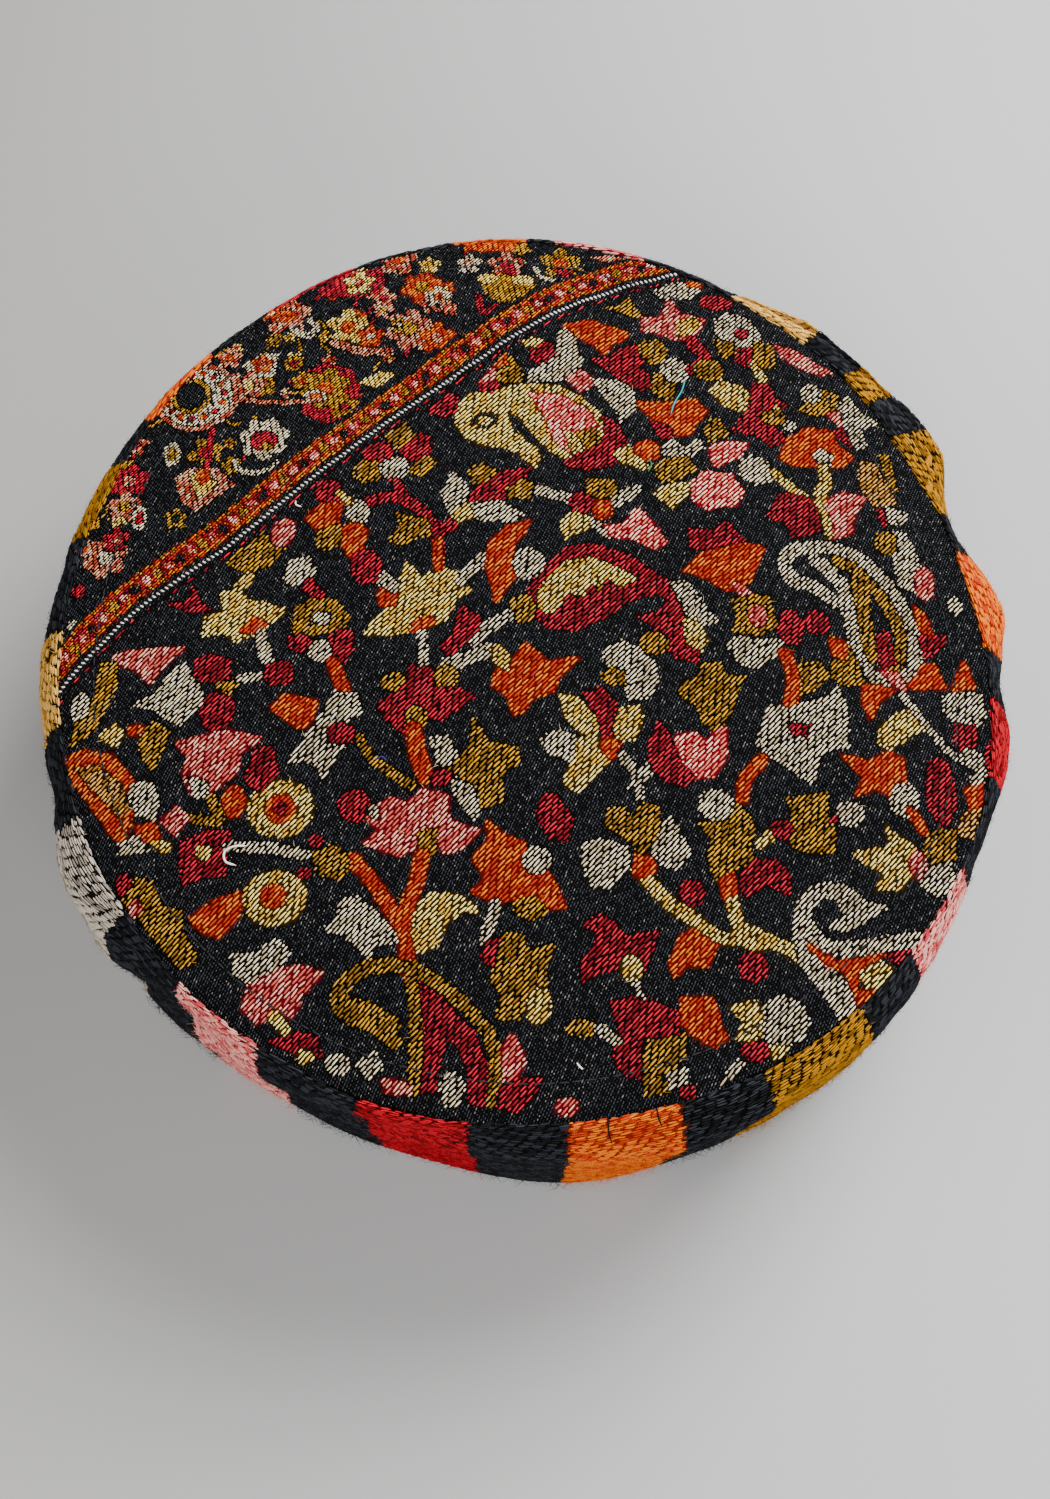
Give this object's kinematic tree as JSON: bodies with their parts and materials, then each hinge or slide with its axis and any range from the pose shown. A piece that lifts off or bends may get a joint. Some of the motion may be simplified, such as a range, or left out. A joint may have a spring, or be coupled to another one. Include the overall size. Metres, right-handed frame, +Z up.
{
  "type": "soft round cap",
  "caption": "Soft round woven cap with a low domed crown, a straight upright side band, inner lining and a sweatband; worn on the head.",
  "frame": {"origin": "centre of the head opening, in the plane of the rim the cap rests on", "axes": "+Z up through the crown, -Y to the front of the cap, +Y to the join of the band at the back"},
  "size_m": [0.1944, 0.1944, 0.0835],
  "materials": {
    "crown_cloth": "matte tapestry twill with many-coloured floats",
    "band_cloth": "matte brushed twill in coloured blocks",
    "interlining": "matte felted",
    "lining": "smooth plain weave",
    "sweatband": "brown twill tape, softly worn",
    "thread": "matte sewing thread"
  },
  "bodies": {
    "root": {"crown_panel": "crown_cloth", "side_band": "band_cloth", "crown_interlining": "interlining", "band_stiffener": "interlining", "crown_lining": "lining", "band_lining": "lining", "sweatband": "sweatband", "crown_seam_thread": "thread", "crown_topstitch_thread": "thread", "hem_thread": "thread", "sweatband_thread": "thread", "lining_seam_thread": "thread", "band_join_thread": "thread"}
  },
  "joints": []
}
